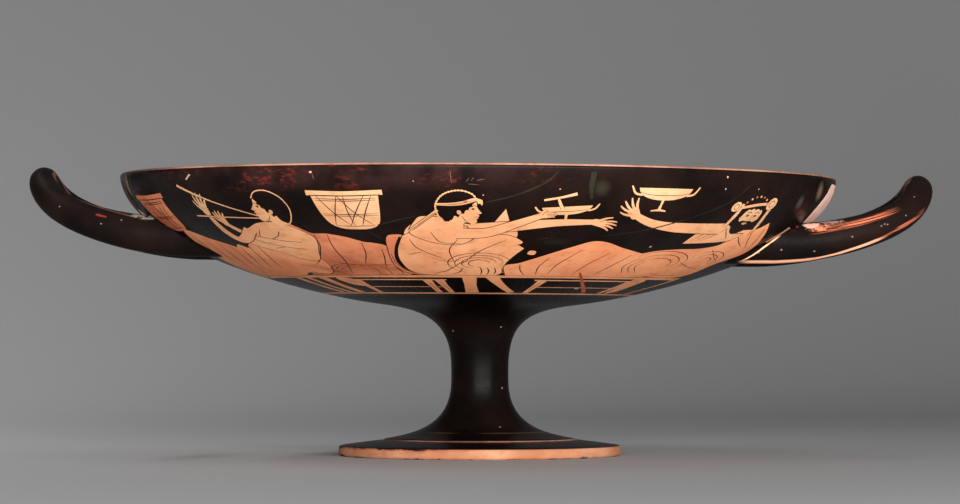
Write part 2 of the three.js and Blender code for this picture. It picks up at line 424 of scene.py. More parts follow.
def reveller(at):
    # leaning back on a striped cushion, both arms stretched out
    cushion = [(-15.4, 145.8), (-13.2, 144.6), (-14.6, 134), (-15.6, 120), (-14.4, 108), (-11, 102.6, 1),
               (-14.4, 102.8), (-18, 107), (-18.6, 118), (-17.6, 132), (-16.6, 143)]
    mantle = [(-13.4, 145, 1), (-11.4, 148.6), (-9.6, 154), (-6.4, 152), (-1, 146), (5, 146), (8.2, 140),
              (7.4, 137.6, 1), (8.8, 134, 1), (7.2, 126), (5.9, 116.6), (6.4, 108), (4.4, 102, 1),
              (-9, 102, 1), (-13, 103.4), (-16, 108), (-16.6, 120), (-15.6, 132)]
    shape(at, cushion, "cloth")
    stroke(at, [(-14, 144), (-15.8, 133), (-17.2, 119), (-16.2, 107.6), (-12.4, 103.2)], 1.9)
    stroke(at, [(-17.6, 128), (-18, 117), (-17, 108)], 0.4)
    shape(at, [(2, 152, 1), (4.4, 164.4, 1), (5.6, 152, 1)])
    shape(at, [(-7.4, 160.6), (-4, 156.4), (0, 153.4), (5.4, 154.8), (6.2, 140), (-4, 122), (-12, 130),
               (-13, 146), (-10.4, 156)])
    shape(at, mantle)
    shape(at, [(-10.4, 156.4), (-8.8, 159.6), (-4.6, 157.6), (-1.6, 151), (-0.6, 144), (-3.4, 137.4),
               (-8, 139), (-11.8, 147)])
    folds(at, [(-8.2, 148), (-6.8, 139.4), (-3.2, 138.2)], [(-5.0, 155.4), (-3.4, 146), (-0.4, 143.6)], 2,
          0.44)
    stroke(at, [(-5.6, 156.6), (-3.2, 149), (-1.4, 143.8)], 0.44)
    for lean in (-0.9, 0.0, 0.9):  # necklace ties
        stroke(at, [(-1.8 + lean * 0.6, 153.4), (-1.4 + lean, 149), (-1.2 + lean, 146.4)], 0.34)
    folds(at, [(-12.4, 142), (-11.4, 133), (-6.8, 121.6)], [(5.2, 142), (0.4, 131), (-3.4, 117)], 3, 0.5)
    stroke(at, [(-14, 127), (-11.6, 129.4), (-10.6, 127.6)], 0.42)
    stroke(at, [(-9.6, 123.6), (-6.4, 119.8), (-3.2, 121.6)], 0.42)
    curls(at, (0.2, 117.4), (4.6, 4.2), (3.0, 2.5), 4, 8, 0.72, 0.5)
    stroke(at, [(-6, 111), (-3.4, 118.6), (0.6, 122.6)], 0.5)
    folds(at, [(-10, 105.4), (-7.4, 108), (-5.6, 113)], [(-6.6, 103.4), (-4.4, 106.6), (-3.4, 112)], 2)
    folds(at, [(0.4, 113), (0.9, 108), (0.6, 103)], [(5.4, 112), (5.8, 107), (5.4, 103.4)], 4)
    # the far arm reaches out, the near hand holds a cup
    limb(at, [(-1, 150), (5.6, 152.6), (13, 155.6), (19.4, 156.6)], (9, 7.4, 5, 3.4))
    hand(at, (19.6, 156.6), -18, 0.95, spread=11)
    smallCup(at, (14.2, 162.8), 0.9, 5)
    limb(at, [(-4, 147), (1.4, 147.6), (6.2, 154.4), (10.2, 160.4)], (8.4, 7, 5.2, 3.4))
    hand(at, (9.8, 159.8), 14, 0.66, spread=6)
    limb(at, [(10.2, 169.6), (12.8, 171.2), (15.2, 173.2)], (1.1, 1.1, 1.5), edge=0.2)
    limb(at, [(12.4, 170.8), (12.8, 168), (13.4, 164.8)], (1.0, 1.3, 1.6), edge=0.2)
    for x, y in ((-5.8, 164.6), (-6.6, 163.4)):
        limb(at, [(x, y), (x - 2.2, y - 6), (x - 5.4, y - 14.6)], (0.7, 0.8, 0.6), edge=0.3)
    sideHead(at, (-2.6, 163.4), 18.6, -4, 1, 1.08)


def elder(at):
    # an old man under a mantle, frontal, with one hand raised
    mass = [(5.9, 114.6), (9, 118.4), (13.4, 127), (18, 136), (21.4, 141.4), (24.6, 140.4), (28, 136.4),
            (32, 132.6), (34.4, 130.6, 1), (37.4, 133.6), (42, 135.6), (46.4, 136.4), (50.4, 139),
            (52, 143), (51, 152), (54.4, 154), (56.6, 154.8), (58.4, 159.6, 1), (61, 153.6), (63.4, 147.6),
            (65.4, 142.6), (67.4, 133), (64.2, 122), (64.6, 108), (61.4, 103), (54, 102), (47, 103.4),
            (45, 101.8), (30, 101.8), (6.8, 101.8, 1)]
    limb(at, [(68.2, 145), (68.8, 151.5), (69.3, 157.4)], (3.6, 3.6, 3.6), edge=0.3)
    # painted light: the body takes the brighter mantle red, for the weaker light at this end of the frieze
    shape(at, mass, "mantle")
    folds(at, [(9.2, 117), (9.8, 110), (11.4, 103)], [(20.4, 133), (17.6, 117), (17.2, 104)], 3, 0.5)
    folds(at, [(27, 131), (24.6, 118), (23.6, 104)], [(32.4, 129), (31, 117), (29.6, 103.4)], 2, 0.5)
    curls(at, (42, 119.4), (9, 6.6), (4.4, 3.6), 3, -14, 0.5, 0.45)
    curls(at, (56, 125), (5, 3), (4.4, 3), 3, -20, 0.6, 0.45)
    folds(at, [(35.6, 126), (34.4, 116), (37, 107)], [(38.4, 122), (37.6, 116), (40.4, 109)], 3, 0.42)
    folds(at, [(53, 150), (56, 144.6), (60, 140)], [(59.4, 155), (61.6, 147), (65, 138)], 3, 0.45)
    folds(at, [(52, 136), (57, 129), (62, 124)], [(46, 108), (52, 105.4), (60, 106)], 3, 0.4)
    stroke(at, [(50.6, 143), (52.4, 143.6), (53, 146)], 0.5)
    shape(at, [(41, 141, 1), (41.6, 150), (44, 156.6), (47, 157), (51, 151), (54, 150.6), (52, 144.6),
               (46, 142)])
    folds(at, [(45.6, 156), (43.6, 150), (42, 143)], [(48, 155.6), (46.4, 149), (44.4, 144)], 3, 0.42)
    stroke(at, [(47.4, 154.4), (49.4, 149.6), (51, 146)], 0.44)
    limb(at, [(47, 154), (42, 153.6), (35, 154), (30, 156.6), (26.2, 161.4)], (8, 7.6, 7, 5, 3.4))
    hand(at, (26.2, 161.2), 124, 1.0, spread=15)
    for side, droop in ((-1, 0), (1, 1)):
        tail = [(side * 10.6, 6.2), (side * 11, -1), (side * (11.6 + 4 * droop), -9 - 5 * droop)]
        limb(at, around((50.6, 164), tail), (1.9, 2.4, 1.5), edge=0.3)
    frontHead(at, (50.7, 162.6), 17.6)
    ribbon(at, "clay", around((50.7, 162.6), [(-10.8, 5.4), (0, 7.6), (10.4, 8.4)]), (1.5, 1.6, 1.5))
    for azimuth, reach, size in ((45.4, 168.4, 2.9), (54, 170.8, 3.5)):
        shape(at, ring((azimuth, reach), size, size), edge=0.3)
        closedStroke(at, ring((azimuth, reach), size * 0.5, size * 0.5), 0.32)
    for i in range(9):
        turn = math.radians(28 + 15.5 * i)
        dot = (50 + 10 * math.cos(turn) / 2.68, 164 + 10.4 * math.sin(turn))
        area(at, "red" if i % 2 else "clay", ring(dot, 0.62, 0.62, 0, 6), 0.7)


def symposium(at):
    # three banqueters on two couches, playing the pipes and reaching for cups
    couch(at, -80, -6.5)
    couch(at, -6.5, 66.6)
    for azimuth, width in ((-56.6, 4.6), (-51.6, 3.6), (-45.6, 5.4), (65.6, 3.6), (-2.2, 6.6)):  # legs
        limb(at, [(azimuth, 100), (azimuth, 88), (azimuth + 0.2, 74)], (width, width * 0.8, width * 0.9),
             edge=0)
    limb(at, [(3.6, 100), (5.4, 92), (8.4, 82), (11.4, 74.6)], (6, 4.6, 3.6, 3.2), edge=0)
    lowTable(at, -37.5, -8.5)
    lowTable(at, 15.4, 52)
    area(at, "clay", [(-41, 98), (-36.6, 97.5), (-34.4, 90), (-35.4, 85.6), (-38.6, 86), (-40.6, 90)])
    area(at, "clay", [(46, 98.6), (51.4, 98), (52.6, 88), (53.6, 78), (50, 76), (48.4, 84)])
    piper(at)
    reveller(at)
    elder(at)
    basket(at, (-66.4, 163.4), 0.98, "cloth")
    basket(at, (-20.9, 162.6), 1.0)
    smallCup(at, (29.8, 172.6), 1.1)


def handlePanels():
    # the wall between the roots of each handle is left bare; by the right handle it is painted pale, a
    # painted light, and by the left handle mostly dark brown, a painted shade
    right = [(76.6, 183.3), (75.3, 180.5), (73.5, 173.8), (72.9, 168.8), (73.4, 163.8), (74.4, 158),
             (79, 124)]
    marks.append(("bare", [(101.2, 124), (101.2, 183.3), *right]))
    for left, edge in ((258.75, 269.9), (-89.9, -78.4)):
        marks.append(("dull", [(left, 124), (edge, 124), (edge, 183.3), (left, 183.3)]))
    area(front, "bare", [(-80, 158), (-76.5, 158), (-76.8, 164.5), (-79.3, 168), (-80.4, 164)])


def age(at):
    # repaired breaks, a worn patch and a spilt line of red
    for line in (
        [(-59.8, 182), (-56.3, 176.3), (-52.7, 167.2)], [(-17.5, 142), (-19.3, 148.7)],
        [(-17, 153.4), (-13.6, 156.6), (-10, 159.6)],
        [(1.3, 168.2), (5.6, 172), (9.7, 177.7), (12.1, 183.6)],
        [(22.3, 145.8), (30, 151.6), (37.4, 161.5), (42.5, 169.6), (46.1, 179.1)],
    ):
        ribbon(at, "mend", line, (0.5, 1.0, 0.8, 0.4))
    ribbon(at, "mend", [(17.4, 183.6), (17.2, 177), (17.6, 170.6)], (2.6, 2.2, 1.2))
    for line in ([(10.6, 141.6), (12, 143.6), (13.6, 143)], [(12.6, 145.6), (14, 144.4)],
                 [(14, 142), (15, 139.4)]):
        ribbon(at, "mend", line, (0.3, 0.9, 0.3))
    area(at, "clay", [(10.2, 132), (11.4, 131), (11.2, 127.6), (9.8, 128.6)], 0.8)
    area(at, "gloss", [(7.4, 147.4, 1), (9.2, 147.8, 1), (8.7, 142.6, 1)], 0.8)
    ribbon(at, "red", [(25.2, 107), (28.2, 98.4), (32.8, 87.3), (39.6, 74.8)], (1.0, 1.5, 1.8, 2.0))
    area(at, "chip", [(31.6, 84), (33, 83), (33.6, 81.4), (32, 82)], 0.8)
    ribbon(at, "chip", [(-50.9, 180.9), (-49.6, 183.3)], (0.7, 0.9))
    for line in ([(-4.1, 183.3), (-3.9, 177.6)], [(-25.4, 182.6), (-25.2, 179.6)],
                 [(-1.7, 178.4), (-1.3, 180.2)], [(-1, 178.8), (-0.6, 180.4)], [(-0.2, 179), (1, 179.7)],
                 [(-1.4, 177.4), (0.2, 177)]):
        ribbon(at, "dull", line, (0.2, 0.36, 0.16))
    for centre, wide, high in (
        ((40.8, 182.9), 0.5, 0.6), ((-25.6, 182.9), 0.7, 0.5), ((0.8, 172), 0.3, 0.3),
        ((41, 177.4), 0.35, 0.5), ((34.4, 137.4), 0.7, 0.7), ((48.5, 178), 0.3, 0.4),
        ((-9.6, 178.6), 0.25, 0.25), ((12.4, 175.4), 0.3, 0.3),
    ):
        area(at, "chip", ring(centre, wide, high, 20, 7), 0.7)


floorMarks = []
roundel = {
    "keys": 30,
    "keyBand": (41.1, 47.3),
    "rings": [("clay", 39.0, 39.9), ("clay", 48.6, 49.5), ("clay", 33.4, 33.9)],
    "petals": 8,
    "petalReach": (7.0, 30.5),
}


def drawRoundel():
    # a running key pattern round a rosette, on the floor of the bowl
    inner, outer = roundel["keyBand"]
    cell = 360 / roundel["keys"]
    strokes = ((0, 0, 1, 0.15), (0.04, 0.15, 0.17, 1), (0.17, 0.85, 0.84, 1), (0.71, 0.3, 0.84, 0.85),
               (0.4, 0.3, 0.71, 0.45), (0.4, 0.45, 0.53, 0.66))
    for i in range(roundel["keys"]):
        for left, low, right, high in strokes:
            steps = [left + (right - left) * k / 4 for k in range(5)]
            below = [(-90 + cell * (i + t), inner + (outer - inner) * low) for t in steps]
            above = [(-90 + cell * (i + t), inner + (outer - inner) * high) for t in reversed(steps)]
            floorMarks.append(("clay", below + above))
    near, far = roundel["petalReach"]
    cell = 360 / roundel["petals"]
    for i in range(roundel["petals"]):
        middle = -90 + cell * (i + 0.5)
        side = [(0, near), (9, near + 3), (14.5, near + 8), (15, near + 14), (9.5, far - 4), (0, far)]
        leaf = [(middle + a, r) for a, r in side] + [(middle - a, r) for a, r in side[-2:0:-1]]
        floorMarks.append(("clay", smooth(leaf, True, 1.2)))
        rib = [(middle - 1.4, near + 3), (middle + 1.4, near + 3), (middle + 0.5, far - 7),
               (middle - 0.5, far - 7)]
        floorMarks.append(("line", smooth(rib, False, 2)))
        for side in (-1, 1):
            dot = middle + side * (cell / 2 - 2.6)
            floorMarks.append(("clay", [(dot - 2, 28.6), (dot, 29.6), (dot + 2, 28.6), (dot, 26.4)]))


drawRoundel()
handlePanels()
symposium((180, -1))
symposium(front)
age(front)
print("drawn", len(marks) + len(floorMarks), "marks")


handles = {
    "sides": {
        "left": {"side": -1, "height": 100, "reach": 201.9, "root": 9.2, "sideLift": 17.2, "tipLift": 8.9},
        "right": {"side": 1, "height": 98.6, "reach": 204.6, "root": 9.4, "sideLift": 17.0, "tipLift": 9.4},
    },
    "start": 104.0,
    "halfSpread": 42.0,
    "liftStart": 134.0,
    "tipRadius": 6.6,
    "swell": 1.0,
    "swellBetween": (124.0, 152.0),
    "squareness": 2.6,
    "archSharpness": 4.5,
    "rings": 96,
    # paint, in (along, round) of the map made by wrapHandle. Stripes: colour, from and to
    # along, round at each end, half width, whether brushed dry
    "stripes": [
        # painted light: the first two, bare stripes along the underside of the right handle, are painted
        # brighter than the clay, to make up for the little light that reaches the underside
        ((0.95, 0.46, 0.27), (2.066, 2.19), (0.692, 0.69), 0.026, False),
        ((0.90, 0.42, 0.24), (2.17, 2.31), (0.698, 0.616), 0.018, False),
        ((0.45, 0.13, 0.07), (2.29, 2.35), (0.628, 0.572), 0.014, True),
        ((0.42, 0.11, 0.06), (2.34, 2.41), (0.58, 0.54), 0.022, True),
        ((0.88, 0.45, 0.26), (2.062, 2.124), (0.665, 0.464), 0.007, False),
        ((0.58, 0.15, 0.07), (2.195, 2.35), (0.405, 0.372), 0.032, True),
        ((0.13, 0.055, 0.035), (0.205, 0.335), (0.345, 0.262), 0.010, False),
        ((0.12, 0.055, 0.035), (0.44, 0.60), (0.135, 0.03), 0.028, False),
    ],
    # colour, centre, half-sizes, whether broken up
    "ovals": [
        ((0.19, 0.085, 0.06), (2.51, 0.11), (0.055, 0.07), False),
        ((0.26, 0.15, 0.12), (2.222, 0.335), (0.034, 0.055), True),
        ((0.62, 0.17, 0.08), (2.200, 0.385), (0.026, 0.036), True),
        ((0.56, 0.33, 0.25), (2.188, 0.34), (0.016, 0.04), False),
        ((0.17, 0.022, 0.015), (0.2755, 0.407), (0.010, 0.012), False),
        ((0.30, 0.24, 0.20), (0.192, 0.315), (0.034, 0.055), True),
        ((0.25, 0.03, 0.025), (2.160, 0.36), (0.003, 0.012), False),
    ],
    "specks": [
        (2.409, 0.350), (2.320, 0.478), (2.325, 0.490), (2.313, 0.485), (2.366, 0.477), (2.256, 0.513),
        (2.130, 0.560), (2.187, 0.587), (2.090, 0.586), (0.356, 0.456), (0.268, 0.483), (0.234, 0.407),
    ],
}


def newGroup(name, inputs, outputs):
    group = bpy.data.node_groups.new(name, "ShaderNodeTree")
    for label, kind, value in inputs:
        socket = group.interface.new_socket(label, in_out="INPUT", socket_type=kind)
        if value is not None:
            socket.default_value = value
    for label, kind in outputs:
        group.interface.new_socket(label, in_out="OUTPUT", socket_type=kind)
    return group, group.nodes.new("NodeGroupInput"), group.nodes.new("NodeGroupOutput")


def add(tree, kind, settings=None, **links):
    # a node with its settings; each link is a value or another node's output, and its
    # socket goes by name, or by number as in i0
    made = tree.nodes.new("ShaderNode" + kind)
    for key, value in (settings or {}).items():
        setattr(made, key, value)
    for key, value in links.items():
        numbered = key[0] == "i" and key[1:].isdigit()
        socket = made.inputs[int(key[1:]) if numbered else key.replace("_", " ")]
        if isinstance(value, bpy.types.NodeSocket):
            tree.links.new(value, socket)
        else:
            socket.default_value = value
    return made


def noise(tree, place, scale, detail=3.0, rough=0.55, stretch=None):
    if stretch:
        place = add(tree, "Mapping", None, Vector=place, Scale=stretch).outputs["Vector"]
    made = add(tree, "TexNoise", None, Vector=place, Scale=scale, Detail=detail, Roughness=rough)
    return made.outputs["Fac"]


def remap(tree, value, low, high, out=(0.0, 1.0)):
    settings = {"interpolation_type": "SMOOTHSTEP"}
    return add(tree, "MapRange", settings, Value=value, From_Min=low, From_Max=high,
               To_Min=out[0], To_Max=out[1]).outputs["Result"]


def maths(tree, operation, a, b, c=0.5):
    return add(tree, "Math", {"operation": operation}, i0=a, i1=b, i2=c).outputs[0]


def product(tree, a, b):
    return maths(tree, "MULTIPLY", a, b)


def blend(tree, share, a, b):
    # from colour a to colour b; each is another node's output or three numbers
    a, b = (c if isinstance(c, bpy.types.NodeSocket) else (*c, 1) for c in (a, b))
    return add(tree, "Mix", {"data_type": "RGBA"}, i0=share, i6=a, i7=b).outputs[2]


def axes(tree, place):
    split = add(tree, "SeparateXYZ", None, Vector=place)
    return [split.outputs[k] for k in "XYZ"]


def mottleGroup():
    # uneven tone in fired clay or gloss: cloudy patches and fine grain
    group, given, result = newGroup(
        "mottle",
        [("Place", "NodeSocketVector", None), ("Cloud Scale", "NodeSocketFloat", 30.0),
         ("Grain Scale", "NodeSocketFloat", 900.0)],
        [("Cloud", "NodeSocketFloat"), ("Grain", "NodeSocketFloat")])
    place = given.outputs["Place"]
    cloud = noise(group, place, given.outputs["Cloud Scale"], 4.0, 0.6)
    grain = noise(group, place, given.outputs["Grain Scale"], 2.0, 0.7)
    group.links.new(remap(group, cloud, 0.32, 0.7), result.inputs["Cloud"])
    group.links.new(remap(group, grain, 0.3, 0.72), result.inputs["Grain"])
    return group


mottle = mottleGroup()

finishes = {
    # black slip has a roughness, a shine (0.06 where none is given) and a depth of
    # colour; fired clay has a deep and a light tone and a roughness
    "gloss": {"roughness": 0.3, "shine": 0.035},
    "line": {"roughness": 0.3, "shine": 0.035},
    "clay": {"deep": (0.57, 0.28, 0.13), "light": (0.66, 0.372, 0.196), "roughness": 0.6},
    "red": {"deep": (0.34, 0.06, 0.035), "light": (0.54, 0.13, 0.075), "roughness": 0.7},
    "cloth": {"deep": (0.60, 0.18, 0.082), "light": (0.78, 0.28, 0.132), "roughness": 0.6},
    # painted light: a brighter copy of the cloth red, for the draped figures at both ends of each frieze,
    # to make up for the weaker light there
    "mantle": {"deep": (0.82, 0.28, 0.122), "light": (0.98, 0.41, 0.195), "roughness": 0.6},
    # painted light: the bare panel by the right handle and the low end of the one by the left, paler than
    # the clay so that it reads bright where the light only grazes it
    "bare": {"deep": (0.62, 0.34, 0.26), "light": (0.90, 0.58, 0.46), "roughness": 0.7},
    # painted shade: the bare panel by the left handle, dark brown as it looks in shade; also the scratches
    # near the rim
    "dull": {"deep": (0.05, 0.028, 0.02), "light": (0.14, 0.085, 0.06), "roughness": 0.6},
    "chip": {"deep": (0.42, 0.22, 0.15), "light": (0.60, 0.38, 0.28), "roughness": 0.75},
    "lip": {"deep": (0.22, 0.095, 0.06), "light": (0.47, 0.24, 0.155), "roughness": 0.5},
    "mend": {"deep": (0.009, 0.0083, 0.0055), "light": (0.021, 0.0195, 0.012), "roughness": 0.6},
    "inside": {"roughness": 0.3},
    "foot": {"roughness": 0.34, "shine": 0.03, "depth": 0.55},
    "scribe": {"deep": (0.10, 0.04, 0.028), "light": (0.30, 0.13, 0.09), "roughness": 0.66},
    "footClay": {"deep": (0.30, 0.115, 0.058), "light": (0.41, 0.20, 0.112), "roughness": 0.66},
    "under": {"deep": (0.42, 0.17, 0.085), "light": (0.66, 0.32, 0.16), "roughness": 0.72},
    "handle": {"roughness": 0.48, "shine": 0.03},
}
slotNames = list(finishes)
tones = {
    "blackThick": (0.0042, 0.0029, 0.0026),
    "blackThin": (0.0125, 0.0062, 0.0046),
    "misfireRed": (0.115, 0.017, 0.013),
    "misfireHaze": (0.023, 0.010, 0.009),
    # the lower wall's clay, painted brighter to make up for the weaker light that reaches it
    "litLowClayDeep": (0.84, 0.33, 0.15),
    "litLowClayLight": (0.98, 0.47, 0.235),
    "scuff": (0.36, 0.14, 0.07),
    "clothStain": (0.50, 0.135, 0.058),
    "burntLip": (0.10, 0.055, 0.035),
    "thinSlip": (0.20, 0.05, 0.028),
    "footStreak": (0.24, 0.075, 0.035),
    "footLowDark": (0.03, 0.016, 0.012),
    "footSpeck": (0.16, 0.15, 0.14),
    "wheelRing": (0.07, 0.032, 0.02),
    "handleSpeck": (0.16, 0.135, 0.11),
}
wearAndPaintedLight = {
    # patches in the black of the wall: the first four are painted sheen, brown and grey reflections near
    # the rim ends; the last two are faint paler patches. Colour, centre and half-sizes in mm
    "wall": [
        ((0.15, 0.085, 0.055), (153.3, -57, 120.5), (3.2, 7, 7)),
        ((0.05, 0.047, 0.044), (142.9, -73, 115.3), (3, 5, 7)),
        ((0.30, 0.17, 0.11), (-160, -42.5, 123), (4, 4, 10)),
        ((0.05, 0.03, 0.022), (-158, -49, 122), (3, 4, 8)),
        ((0.024, 0.022, 0.015), (31, -128, 97.5), (11, 8, 3)),
        ((0.022, 0.020, 0.013), (52, -154, 119), (5, 6, 5)),
    ],
    # where it misfired, in metres: rising between two heights, coming in between two
    # depths, and round a place across, by half width and softness
    "misfired": {"heights": (0.1165, 0.1235), "depths": (-0.02, -0.08), "across": (-0.055, 0.07, 0.035)},
    # pale specks on foot and stem, in mm
    "foot": [(-12.4, -12.3, 57.9), (9.8, -15.5, 59.7), (10.3, -8.7, 31.5), (9.3, -22.7, 13.8)],
    "footSpeck": 0.0005,
    "wheelRing": (0.0306, 0.0004, 0.0003),  # radius, half width and softness
    "clayLiftHeights": (0.088, 0.114),             # heights over which the clay grows paler, up from the lower colours painted brighter for the weaker light there
    "burntLip": (-0.135, -0.155),           # places across between which the lip is burnt
    "slipRun": (0.0056, 0.0066, 0.0069),    # heights on the foot's edge: clay, thin slip, black
    "slipSide": (-0.01, -0.03),             # places across between which slip ran over the edge
    "groundDarkHeights": (-0.0027, -0.0032),
    "handleSpeck": (0.0020, 0.009),         # half-sizes on the handle's own map
}


def band(tree, value, centre, half, soft):  # 1 within half of centre, fading over soft
    away = maths(tree, "ABSOLUTE", maths(tree, "SUBTRACT", value, centre), 0.0)
    return remap(tree, away, half + soft, max(0.0, half - soft))


def oval(tree, place, centre, half):  # 0 at the centre, 1 at the edge
    scale = [1 / h for h in half] + [0] * (3 - len(half))
    offset = [-c * s for c, s in zip(centre, scale)] + [0] * (3 - len(half))
    moved = add(tree, "VectorMath", {"operation": "MULTIPLY_ADD"}, i0=place, i1=scale, i2=offset).outputs[0]
    return add(tree, "VectorMath", {"operation": "LENGTH"}, i0=moved).outputs["Value"]


def paintRod(tree, place, colour):
    # brushed stripes, worn places and specks on the handles; returns colour and bareness
    uv = add(tree, "UVMap", {"uv_map": "alongHandle"}).outputs["UV"]
    u, v = axes(tree, uv)[:2]
    ragged = maths(tree, "SUBTRACT", noise(tree, place, 320.0, 4.0, 0.6), 0.5)
    wavy = maths(tree, "ADD", v, product(tree, noise(tree, place, 70.0, 2.0), 0.02))
    bristles = remap(tree, noise(tree, uv, 3.0, 3.0, stretch=(4, 40, 1)), 0.44, 0.6)
    bare = product(tree, u, 0.0)
    for paint, (start, end), (v0, v1), half, broken in handles["stripes"]:
        slope = (v1 - v0) / (end - start)
        centre = maths(tree, "ADD", product(tree, u, slope), v0 - slope * start + 0.01)
        mask = band(tree, maths(tree, "SUBTRACT", wavy, centre), 0.0, half, half * 0.4)
        length = band(tree, u, (start + end) / 2, (end - start) / 2, 0.12 * (end - start))
        mask = product(tree, mask, length)
        if broken:
            mask = product(tree, mask, bristles)
        colour = blend(tree, mask, colour, paint)
        bare = maths(tree, "MAXIMUM", bare, mask)
    for paint, centre, half, broken in handles["ovals"]:
        away = maths(tree, "ADD", oval(tree, uv, centre, half), product(tree, ragged, 1.6))
        mask = remap(tree, away, 1.15, 0.8)
        if broken:
            mask = product(tree, mask, remap(tree, ragged, -0.04, 0.08))
        colour = blend(tree, mask, colour, paint)
        bare = maths(tree, "MAXIMUM", bare, mask)
    nearest = None
    for centre in handles["specks"]:
        away = oval(tree, uv, centre, wearAndPaintedLight["handleSpeck"])
        nearest = away if nearest is None else maths(tree, "MINIMUM", nearest, away)
    return blend(tree, remap(tree, nearest, 1.1, 0.4), colour, tones["handleSpeck"]), bare


def misfireAndSheen(tree, place, colour):
    # a hazy, red-flecked zone under the rim, then patches: painted sheen near the rim ends and two faint
    # paler ones
    x, y, z = axes(tree, place)
    zone = product(tree, remap(tree, z, *wearAndPaintedLight["misfired"]["heights"]),
                   remap(tree, y, *wearAndPaintedLight["misfired"]["depths"]))
    zone = product(tree, zone, band(tree, x, *wearAndPaintedLight["misfired"]["across"]))
    haze = product(tree, zone, remap(tree, noise(tree, place, 55.0, 4.0), 0.36, 0.58))
    colour = blend(tree, haze, colour, tones["misfireHaze"])
    flecks = remap(tree, noise(tree, place, 210.0, 6.0, 0.7, (1, 1, 2.4)), 0.5, 0.64)
    crowd = remap(tree, noise(tree, place, 34.0, 3.0, stretch=(1, 1, 2)), 0.45, 0.6)
    flecks = product(tree, product(tree, zone, flecks), crowd)
    colour = blend(tree, flecks, colour, tones["misfireRed"])
    # painted sheen: brown and grey reflections painted into the colour near the rim ends, then two faint
    # paler patches
    for paint, centre, half in wearAndPaintedLight["wall"]:
        away = oval(tree, place, [c * mm for c in centre], [h * mm for h in half])
        colour = blend(tree, remap(tree, away, 1.0, 0.1), colour, paint)
    return colour


def markFoot(tree, place, colour):
    # pale specks, and a ring left by the wheel, showing here and there
    for centre in wearAndPaintedLight["foot"]:
        away = oval(tree, place, [c * mm for c in centre], [wearAndPaintedLight["footSpeck"]] * 3)
        colour = blend(tree, remap(tree, away, 1.1, 0.5), colour, tones["footSpeck"])
    level = add(tree, "Mapping", None, Vector=place, Scale=(1, 1, 0)).outputs["Vector"]
    radius = add(tree, "VectorMath", {"operation": "LENGTH"}, i0=level).outputs["Value"]
    low = remap(tree, axes(tree, place)[2], 0.02, 0.018)
    faint = product(tree, band(tree, radius, *wearAndPaintedLight["wheelRing"]), low)
    faint = product(tree, faint, remap(tree, noise(tree, place, 50.0), 0.4, 0.6))
    return blend(tree, faint, colour, tones["wheelRing"])


def runOver(tree, place, colour):
    # on the foot's edge: black that ran over it, streaked clay, and an uneven darker band at the bottom,
    # where it stands
    x, _, z = axes(tree, place)
    clayTop, thinTop, blackTop = wearAndPaintedLight["slipRun"]
    leftOnly = remap(tree, x, *wearAndPaintedLight["slipSide"])
    run = maths(tree, "MULTIPLY_ADD", noise(tree, place, 90.0, 5.0, 0.65), 0.005, z)
    thin = product(tree, remap(tree, run, clayTop, thinTop), leftOnly)
    colour = blend(tree, product(tree, thin, 0.7), colour, tones["thinSlip"])
    thick = product(tree, remap(tree, run, thinTop, blackTop), leftOnly)
    colour = blend(tree, thick, colour, tones["blackThin"])
    streaks = remap(tree, noise(tree, place, 95.0, 5.0, 0.7, (1, 1, 9)), 0.5, 0.68)
    colour = blend(tree, product(tree, streaks, 0.4), colour, tones["footStreak"])
    ground = maths(tree, "MULTIPLY_ADD", noise(tree, place, 75.0, 4.0, 0.7), -0.006, z)
    return blend(tree, remap(tree, ground, *wearAndPaintedLight["groundDarkHeights"]), colour, tones["footLowDark"])


def slipColour(tree, name, place, cloud):
    depth = finishes[name].get("depth", 1)
    thick, thin = ([c * depth for c in tones[key]] for key in ("blackThick", "blackThin"))
    colour = blend(tree, cloud, thick, thin)
    if name == "gloss":
        colour = misfireAndSheen(tree, place, colour)
    if name == "foot":
        colour = markFoot(tree, place, colour)
    return colour


def clayColour(tree, name, place, cloud):
    data = finishes[name]
    x, _, z = axes(tree, place)
    colour = blend(tree, cloud, data["deep"], data["light"])
    if name == "clay":
        # paler and yellower high on the wall, pinker lower down; the lower colours are also painted
        # brighter, to make up for the weaker light on the downward-facing lower wall
        low = blend(tree, cloud, tones["litLowClayDeep"], tones["litLowClayLight"])
        colour = blend(tree, remap(tree, z, *wearAndPaintedLight["clayLiftHeights"]), low, colour)
    fine = noise(tree, place, 170.0, 7.0, 0.68, (1, 1, 1.7))
    deeper = [c * k for c, k in zip(data["deep"], (0.82, 0.7, 0.66))]
    colour = blend(tree, remap(tree, fine, 0.47, 0.72, (0, 0.6)), colour, deeper)
    if name == "lip":
        colour = blend(tree, remap(tree, x, *wearAndPaintedLight["burntLip"]), colour, tones["burntLip"])
    if name == "footClay":
        colour = runOver(tree, place, colour)
    if name == "cloth":
        stain = noise(tree, place, 38.0, 6.0, 0.62, (1, 1, 1.6))
        colour = blend(tree, remap(tree, stain, 0.47, 0.62, (0, 0.85)), colour, tones["clothStain"])
    scuffs = remap(tree, noise(tree, place, 240.0, 4.0, 0.7, (1, 1, 3)), 0.62, 0.75)
    return blend(tree, product(tree, scuffs, 0.35), colour, tones["scuff"])


